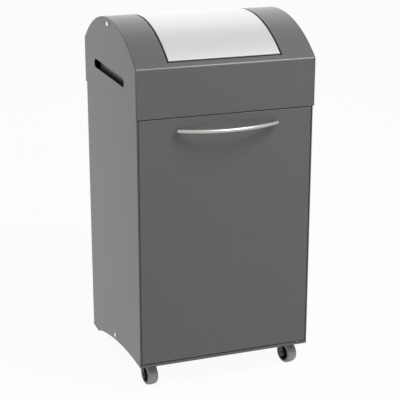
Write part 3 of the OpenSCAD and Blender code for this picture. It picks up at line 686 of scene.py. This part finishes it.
class BIN_OT_door(Operator):
    """Folds the door as a shallow tray with lips behind"""
    bl_idname = "bin.door"
    bl_label = "Door"

    def execute(self, context):
        sheet = context.scene.bin_sheet
        bush_stand = 0.00015  # the hinge bushes stand out of the folds by so much
        low, high = DOOR_LOW.copy(), DOOR_HIGH.copy()
        low.z += bush_stand
        high.z -= bush_stand
        bm = bmesh.new()
        block(bm, low, high)
        back = max(bm.faces, key=lambda face: face.calc_center_median().y)
        folds = list(bm.edges)
        bmesh.ops.inset_individual(bm, faces=[back], thickness=sheet.door_lip, use_even_offset=True)
        bmesh.ops.delete(bm, geom=[back], context="FACES")
        round_edges(bm, folds, sheet.door_fold, FOLD_STEPS)
        face_towards(bm, (0, -1, 0))
        add_piece(bm, "door_sheet", "door", ["door_panel"], "paint", wall=sheet.wall, rim=sheet.rim)
        return {"FINISHED"}


class BIN_OT_handle(Operator):
    """Bends the round bar of the handle and sets it on its two posts"""
    bl_idname = "bin.handle"
    bl_label = "Bow handle"

    def execute(self, context):
        handle = context.scene.bin_handle
        bar = (BOW_HIGH.z - BOW_LOW.z) / 2
        height = (BOW_LOW.z + BOW_HIGH.z) / 2
        end_x = handle.length / 2
        radius = arc_radius(end_x, handle.reach - handle.end_reach)
        sweep = math.asin(end_x / radius)
        centre = Vector((0, DOOR_LOW.y - handle.reach + radius, height))
        bm = bmesh.new()
        circle = bmesh.ops.create_circle(bm, radius=bar, segments=32)["verts"]
        bmesh.ops.rotate(bm, verts=circle, cent=(0, 0, 0), matrix=Matrix.Rotation(QUARTER, 3, "Y"))
        bmesh.ops.translate(bm, verts=circle, vec=centre - Vector((0, radius, 0)))
        bmesh.ops.rotate(bm, verts=circle, cent=centre, matrix=Matrix.Rotation(-sweep, 3, "Z"))
        ring = list({edge for vert in circle for edge in vert.link_edges})
        bmesh.ops.spin(bm, geom=circle + ring, cent=centre, axis=(0, 0, 1), dvec=(0, 0, 0),
                       angle=2 * sweep, steps=handle.segments, use_merge=False, use_duplicate=False)
        ends = bmesh.ops.holes_fill(bm, edges=open_edges(bm), sides=0)["faces"]
        bmesh.ops.recalc_face_normals(bm, faces=bm.faces)
        round_edges(bm, {edge for face in ends for edge in face.edges}, handle.end_round)
        add_piece(bm, "handle_bar", "door", ["handle_bow"], "ground")
        self.set_posts(handle, height, centre.y, radius)
        return {"FINISHED"}

    def set_posts(self, handle, height, middle_y, radius):
        """A short post at each end, with a narrow collar on the door."""
        round_off, collar_stand = 0.0004, 0.0006
        post_x, collar = handle.length / 2 - handle.post_in, handle.post + collar_stand
        depth = DOOR_LOW.y - middle_y + math.sqrt(radius * radius - post_x * post_x)
        outline = [(0, 0), (0, collar - round_off), (round_off, collar), (2 * round_off, collar),
                   (3 * round_off, handle.post), (depth, handle.post), (depth, 0)]
        posts = bmesh.new()
        for _, sign in SIDES:
            post = bmesh.new()
            turned(post, outline, steps=32)
            place(post, (sign * post_x, DOOR_LOW.y, height), -QUARTER)
            join_into(posts, post)
        add_piece(posts, "handle_posts", "door", [], "ground")


class BIN_OT_caps_and_screws(Operator):
    """Turns the axle's bright caps and the round-headed floor screws"""
    bl_idname = "bin.caps_and_screws"
    bl_label = "Caps and screws"

    def execute(self, context):
        low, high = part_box("floor_screws")
        screws = bmesh.new()
        for side, sign in SIDES:
            outwards = QUARTER - sign * QUARTER
            screw = bmesh.new()
            self.head(screw, high.x - SIDE_OUT, (high.z - low.z) / 2, shank=0.0075, shank_r=0.003)
            place(screw, (sign * SIDE_OUT, MID_Y, (low.z + high.z) / 2), outwards)
            join_into(screws, screw)
            cap_low, cap_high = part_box(f"axle_cap_{side}")
            cap_x = cap_high.x if sign < 0 else cap_low.x
            cap = bmesh.new()
            self.head(cap, cap_high.x - cap_low.x, (cap_high.z - cap_low.z) / 2)
            place(cap, (cap_x, MID_Y, (cap_low.z + cap_high.z) / 2), outwards)
            add_piece(cap, f"axle_dome_{side}", "cabinet", [f"axle_cap_{side}"], "bright")
        add_piece(screws, "screw_heads", "cabinet", ["floor_screws"], "bright")
        return {"FINISHED"}

    def head(self, bm, height, radius, shank=0.0, shank_r=0.0):
        """A domed head with a small flat rim, and a shank behind it if it has one."""
        rim_share, end, dome_steps = 0.22, 0.0005, 10
        rise = height * (1 - rim_share)
        dome_r = arc_radius(radius, rise)
        outline = [(height - dome_r + dome_r * math.cos(a), dome_r * math.sin(a))
                   for a in spaced(math.asin(radius / dome_r), 0, dome_steps)]
        back = [(0, 0)]
        if shank:
            back = [(-shank, 0), (-shank, shank_r - end), (end - shank, shank_r), (0, shank_r)]
        turned(bm, back + [(0, radius)] + outline, steps=32)


class BIN_OT_casters(Operator):
    """Builds both casters: crowned tyre, ribbed wheel centre, pressed fork and headed axle"""
    bl_idname = "bin.casters"
    bl_label = "Casters"

    def execute(self, context):
        caster = context.scene.bin_caster
        for side, _ in SIDES:
            spin, swivel = JOINTS[f"wheel_spin_{side}"], JOINTS[f"caster_swivel_{side}"]
            centre, pivot = Vector(spin["pos_m"]), Vector(swivel["pos_m"])
            turn = math.atan2(spin["axis"][1], spin["axis"][0])
            self.half, self.rim = caster.tyre_width / 2, centre.z - caster.tyre_wall
            self.leg = self.half + caster.leg_gap
            self.make_tyre(caster, side, centre, turn)
            self.make_wheel(caster, side, centre, turn)
            self.make_fork(caster, side, centre, turn, (centre.xy - pivot.xy).length)
            self.make_axle(caster, side, centre, turn)
        return {"FINISHED"}

    def make_tyre(self, caster, side, centre, turn):
        """A crowned tread with round shoulders, and a bead in each wall on the wheel's rim."""
        shoulder, bead = 0.0038, 0.0009
        tread_steps, shoulder_steps, bead_steps = 12, 7, 6
        wall_x = self.half - bead
        flat = wall_x - shoulder
        tread = [(x, centre.z - caster.crown + math.sqrt(caster.crown ** 2 - x * x))
                 for x in spaced(-flat, flat, tread_steps)]
        right = arc_points((flat, tread[-1][1] - shoulder), shoulder, QUARTER, 0, shoulder_steps)[1:]
        right += arc_points((wall_x, self.rim + bead), bead, QUARTER, -QUARTER, bead_steps)
        bm = bmesh.new()
        turned(bm, [(-x, r) for x, r in right[::-1]] + tread + right, steps=96)
        place(bm, centre, turn)
        add_piece(bm, f"tyre_{side}", f"wheel_{side}", [f"caster_tyre_{side}"], "rubber")

    def make_wheel(self, caster, side, centre, turn):
        """Hub, web and rim in one moulding, stiffened by ribs."""
        hub_stand, play, set_back, rim_wall = 0.001, 0.00005, 0.002, 0.002
        web, fillet, edge = 0.002, 0.0015, 0.0006
        hub, hub_half, bore = caster.hub, self.half + hub_stand, caster.axle + play
        rim_half, rim_in = self.half - set_back, self.rim - rim_wall
        half = [(hub_half, bore), (hub_half, hub - edge), (hub_half - edge, hub), (web + fillet, hub),
                (web, hub + fillet), (web, rim_in - fillet), (web + fillet, rim_in),
                (rim_half - edge, rim_in), (rim_half, rim_in + edge), (rim_half, self.rim)]
        bm = bmesh.new()
        turned(bm, [(-x, r) for x, r in half] + half[::-1], steps=72)
        self.add_ribs(bm, hub, rim_in, web, rim_half)
        place(bm, centre, turn)
        add_piece(bm, f"wheel_centre_{side}", f"wheel_{side}", [f"caster_wheel_{side}"], "moulding")

    def add_ribs(self, bm, hub, rim_in, web, rim_half):
        """Ribs on both sides of the web from hub to rim, sunk a little into all three."""
        ribs, thick, sunk, set_in, slant = 8, 0.0012, 0.0005, 0.0015, 0.001
        low, high, root, crest = hub - sunk, rim_in + sunk, web - sunk, rim_half - set_in
        outline = [(low, root), (low, crest), (high, crest - slant), (high, root)]
        for i in range(ribs):
            for sign in (-1, 1):
                rib = bmesh.new()
                thicken(rib, [(sign * x, -thick / 2, r) for r, x in outline], (0, thick, 0))
                place(rib, (0, 0, 0), ROUND * i / ribs, "X")
                join_into(bm, rib)

    def make_fork(self, caster, side, centre, turn, trail):
        """Two legs cut from sheet under a pressed crown that covers the ball race."""
        wall, rim, corner = caster.leg_wall, 0.0005, 0.0015
        foot_r, foot_steps, lean = 0.008, 14, 0.25
        crown_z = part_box(f"caster_fork_{side}")[1].z - centre.z
        outline = [(trail + foot_r, crown_z - corner), (trail + foot_r - corner, crown_z),
                   (trail - foot_r, crown_z)]
        outline += arc_points((0, 0), foot_r, 2 * QUARTER - lean, 4 * QUARTER - lean, foot_steps)
        bm = bmesh.new()
        for start in (-self.leg - wall, self.leg):
            leg = bmesh.new()
            thicken(leg, [(0, y, z) for y, z in outline], (wall, 0, 0))
            round_edges(leg, [edge for edge in leg.edges if span(edge, 0) < MERGE], rim, RIM_STEPS)
            place(leg, (start, 0, 0))
            join_into(bm, leg)
        self.press_crown(bm, math.hypot(self.leg + wall, foot_r), (0, trail, crown_z))
        place(bm, centre, turn)
        add_piece(bm, f"fork_{side}", f"swivel_{side}", [f"caster_fork_{side}"], "lacquer")

    def press_crown(self, bm, legs_r, top):
        """A shallow cap over the legs, rounded above, with a hole for the kingpin."""
        stand, deep, wall, roll, roll_steps = 0.0004, 0.003, 0.0018, 0.0012, 5
        radius = legs_r + stand
        outline = arc_points((roll, radius - roll), roll, 2 * QUARTER, QUARTER, roll_steps)
        outline += [(deep, radius), (deep, radius - roll), (wall, radius - 2 * roll), (wall, BORE_R)]
        crown = bmesh.new()
        turned(crown, [(0, BORE_R)] + outline, steps=48)
        place(crown, top, QUARTER, "Y")
        join_into(bm, crown)

    def make_axle(self, caster, side, centre, turn):
        """A pin with a chamfered head outside each leg."""
        head, head_stand, chamfer = 0.0015, 0.002, 0.0007
        reach, across = self.leg + caster.leg_wall, caster.axle + head_stand
        half = [(reach, caster.axle), (reach, across), (reach + head - chamfer, across),
                (reach + head, across - chamfer), (reach + head, 0)]
        bm = bmesh.new()
        turned(bm, [(-x, r) for x, r in half[::-1]] + half, steps=32)
        place(bm, centre, turn)
        add_piece(bm, f"axle_pin_{side}", f"swivel_{side}", [f"caster_axle_{side}"], "lacquer")


class BIN_OT_inner_bin(Operator):
    """Draws the galvanised inner bin with its rolled rim, and the bail with its grip"""
    bl_idname = "bin.inner_bin"
    bl_label = "Inner bin"

    def execute(self, context):
        self.bucket(context.scene.bin_sheet)
        self.bail()
        self.grip()
        return {"FINISHED"}

    def bucket(self, sheet):
        """A box with rounded corners, open above, whose rim is rolled outwards."""
        roll, corner, corner_steps, base_fold = 0.004, 0.022, 8, 0.004
        curl, curl_steps = 1.5 * math.pi, 8
        low, high = LINER_LOW + Vector((roll, roll, 0)), LINER_HIGH - Vector((roll, roll, roll))
        middle, half = (low + high) / 2, (high - low) / 2
        bm = bmesh.new()
        block(bm, low, high)
        round_edges(bm, [edge for edge in bm.edges if span(edge, 2) > half.z], corner, corner_steps)
        round_edges(bm, level(bm.edges, LINER_LOW.z), base_fold)
        lid = [face for face in bm.faces if face.calc_center_median().z > high.z - NEAR]
        bmesh.ops.delete(bm, geom=lid, context="FACES")
        core = Vector((half.x - corner, half.y - corner, 0))

        def outward(point):
            away = Vector((point.x - middle.x, point.y - middle.y, 0))
            near = Vector((max(-core.x, min(core.x, away.x)), max(-core.y, min(core.y, away.y)), 0))
            return (away - near).normalized() if (away - near).length > MERGE else away.normalized()

        rim, angles = open_edges(bm), spaced(0, curl, curl_steps)
        for a, b in zip(angles, angles[1:]):
            out = roll * (math.cos(a) - math.cos(b)) / 2
            up = roll * (math.sin(b) - math.sin(a)) / 2
            rim = pull(bm, rim, lambda point: point + outward(point) * out + Vector((0, 0, up)))
        face_towards(bm, (-1, 0, 0))
        lift = LINER_HIGH.z - max(vert.co.z for vert in bm.verts)
        top = [vert for vert in bm.verts if vert.co.z > LINER_HIGH.z - 3 * roll]
        bmesh.ops.translate(bm, verts=top, vec=(0, 0, lift))
        add_piece(bm, "inner_bucket", "cabinet", ["liner_bin"], "zinc", wall=sheet.liner_wall)

    def bail(self):
        """A round wire from ear to ear, hooked in at its ends and bent at its corners."""
        wire, hook, bend, inside, hook_steps, bend_steps = 0.003, 0.004, 0.018, 0.004, 5, 10
        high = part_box("bail_wire")[1]
        joint = Vector(JOINTS["bail_swing"]["pos_m"])
        side, cross, ear = high.x - wire, high.y - wire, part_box("liner_ears")[1].x
        path = [(inside - ear, joint.y)]
        path += arc_points((hook - side, joint.y + hook), hook, 3 * QUARTER, 2 * QUARTER, hook_steps)
        path += arc_points((bend - side, cross - bend), bend, 2 * QUARTER, QUARTER, bend_steps)
        path += [(-x, y) for x, y in path[::-1]]
        bm = bmesh.new()
        self.draw_wire(bm, [Vector((x, y, joint.z)) for x, y in path], wire)
        add_piece(bm, "bail_rod", "bail", ["bail_wire"], "zinc")

    def draw_wire(self, bm, path, radius, around=14):
        """Sweeps a circle along a level path, ring by ring."""
        up, rings = Vector((0, 0, 1)), []
        for i, point in enumerate(path):
            ahead = (path[min(i + 1, len(path) - 1)] - path[max(i - 1, 0)]).normalized()
            ring = bmesh.ops.create_circle(bm, radius=radius, segments=around)["verts"]
            across = Matrix((up.cross(ahead), up, ahead)).transposed()
            bmesh.ops.transform(bm, verts=ring, matrix=Matrix.Translation(point) @ across.to_4x4())
            rings.append(list({edge for vert in ring for edge in vert.link_edges}))
        for a, b in zip(rings, rings[1:]):
            bmesh.ops.bridge_loops(bm, edges=a + b)
        bmesh.ops.holes_fill(bm, edges=open_edges(bm), sides=0)
        bmesh.ops.recalc_face_normals(bm, faces=bm.faces)

    def grip(self):
        """A black sleeve on the bail, waved for the fingers."""
        bore, chamfer, wave, waves, steps = 0.00305, 0.002, 0.0007, 5, 40
        low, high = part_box("bail_grip")
        reach, radius = (high.x - low.x) / 2, (high.z - low.z) / 2
        run = reach - chamfer
        outline = [(-reach, bore), (-reach, radius - chamfer)]
        outline += [(run * (2 * t - 1), radius - wave * (1 - math.cos(ROUND * waves * t)) / 2)
                    for t in spaced(0, 1, steps)]
        outline += [(reach, radius - chamfer), (reach, bore)]
        bm = bmesh.new()
        turned(bm, outline, steps=40)
        place(bm, (low + high) / 2)
        add_piece(bm, "bail_handgrip", "bail", ["bail_grip"], "moulding")


class BIN_OT_carried_nodes(Operator):
    """Gives the frame's own pieces that still show their finishes"""
    bl_idname = "bin.carried_nodes"
    bl_label = "Frame finishes"

    def execute(self, context):
        for look, nodes in CARRIED.items():
            for node in nodes:
                mesh = frame["nodes"][node].data
                mesh.materials.clear()
                mesh.materials.append(finish(look))
        return {"FINISHED"}


class BIN_OT_stage(Operator):
    """Sets the pale floor, the soft lamps, the white surround and the camera"""
    bl_idname = "bin.stage"
    bl_label = "Stage"

    def execute(self, context):
        stage = context.scene.bin_stage
        self.lay_floor()
        self.light_world(context.scene, stage)
        self.hang_lamp("key_lamp", where=(-2.2, -0.5, 0.3), aim=(0, 0, 0.2), size=1.2,
                       watts=stage.key, colour=(1.0, 0.72, 0.42))
        self.hang_lamp("front_lamp", where=(0.9, -1.5, 2.5), aim=(0, 0, 0.7), size=1.2,
                       watts=stage.front, colour=(0.965, 0.985, 1.0))
        self.hang_lamp("back_lamp", where=(0.8, 2.4, 1.7), aim=(0, 0, 0.75), size=3.0,
                       watts=stage.back, colour=(1.0, 0.985, 0.97))
        self.set_camera(context.scene, stage)
        context.scene.view_settings.view_transform = "Standard"
        return {"FINISHED"}

    def lay_floor(self):
        """A pale matt floor that the camera sees as nearly white."""
        half_size, pale, white_share = 6, (0.95, 0.95, 0.95, 1), 0.95
        bm = bmesh.new()
        bmesh.ops.create_grid(bm, x_segments=1, y_segments=1, size=half_size)
        mesh = as_mesh(bm, "floor")
        floor = add_object("floor", mesh)
        material = bpy.data.materials.new("pale_floor")
        material.use_nodes = True
        tree = material.node_tree
        tree.nodes.clear()
        matt = add_node(tree, "BsdfDiffuse", {"Color": pale})
        glow = add_node(tree, "Emission", {"Strength": 1})
        show_two(tree, "OutputMaterial", matt, glow, white_share)
        mesh.materials.append(material)

    def light_world(self, scene, stage):
        """A soft surround that the camera sees as white."""
        world = bpy.data.worlds.new("studio")
        scene.world = world
        world.use_nodes = True
        tree = world.node_tree
        tree.nodes.clear()
        soft, white = (add_node(tree, "Background", {"Color": (1, 1, 1, 1), "Strength": strength})
                       for strength in (stage.ambient, 1))
        show_two(tree, "OutputWorld", soft, white, 1)

    def hang_lamp(self, name, where, aim, size, watts, colour):
        """A round soft lamp that looks at a point."""
        data = bpy.data.lights.new(name, "AREA")
        data.shape = "DISK"
        data.size = size
        data.energy = watts
        data.color = colour
        lamp = add_object(name, data)
        lamp.location = where
        lamp.rotation_euler = (Vector(aim) - Vector(where)).to_track_quat("-Z", "Y").to_euler()

    def set_camera(self, scene, stage):
        data = bpy.data.cameras.new("camera")
        data.sensor_width = 36
        data.lens = stage.lens
        data.shift_y = stage.shift
        camera = add_object("camera", data)
        camera.location = stage.camera_place
        camera.rotation_euler = (QUARTER - stage.camera_pitch, 0, -stage.camera_yaw)
        scene.camera = camera


def show_two(tree, output, lit, seen, share):
    """Shows one shader to the light, and the other, by a share, to the camera.

    A ray that is mirrored or let through on its way to the camera counts as the camera's own."""
    rays = add_node(tree, "LightPath", {}).outputs
    factor = rays["Is Camera Ray"]
    for operation, value in (("MAXIMUM", rays["Is Glossy Ray"]),
                             ("MAXIMUM", rays["Is Transmission Ray"]), ("MULTIPLY", share)):
        factor = add_node(tree, "Math", {0: factor, 1: value}, operation=operation).outputs[0]
    mix = add_node(tree, "MixShader", {"Fac": factor, 1: lit.outputs[0], 2: seen.outputs[0]})
    add_node(tree, output, {"Surface": mix.outputs[0]})


class BIN_PT_sidebar(Panel):
    """Lists the bin's pieces in the sidebar"""
    bl_idname = "BIN_PT_sidebar"
    bl_label = "Recycling Bin"
    bl_space_type = "VIEW_3D"
    bl_region_type = "UI"
    bl_category = "Bin"

    def draw(self, context):
        scene = context.scene
        for group in SETTINGS:
            box = self.layout.box()
            settings = getattr(scene, group)
            for name in settings.bl_rna.properties.keys():
                if name not in ("rna_type", "name"):
                    box.prop(settings, name)
        for operator in OPERATORS:
            self.layout.operator(operator.bl_idname)


OPERATORS = (
    BIN_OT_side_panels,
    BIN_OT_hood_shell,
    BIN_OT_hood_cheeks,
    BIN_OT_flap,
    BIN_OT_door,
    BIN_OT_handle,
    BIN_OT_caps_and_screws,
    BIN_OT_casters,
    BIN_OT_inner_bin,
    BIN_OT_carried_nodes,
    BIN_OT_stage,
)
SETTINGS = {
    "bin_sheet": BinSheet,
    "bin_hood": BinHood,
    "bin_handle": BinHandle,
    "bin_caster": BinCaster,
    "bin_finish": BinFinish,
    "bin_stage": BinStage,
}


def register():
    for cls in (*SETTINGS.values(), *OPERATORS, BIN_PT_sidebar):
        bpy.utils.register_class(cls)
    for name, cls in SETTINGS.items():
        setattr(bpy.types.Scene, name, PointerProperty(type=cls))


def unregister():
    for name in SETTINGS:
        delattr(bpy.types.Scene, name)
    for cls in reversed((*SETTINGS.values(), *OPERATORS, BIN_PT_sidebar)):
        bpy.utils.unregister_class(cls)


def main():
    register()
    for operator in OPERATORS:
        getattr(bpy.ops.bin, operator.bl_idname.split(".")[1])()
    bpy.context.view_layer.update()


if __name__ == "__main__":
    main()
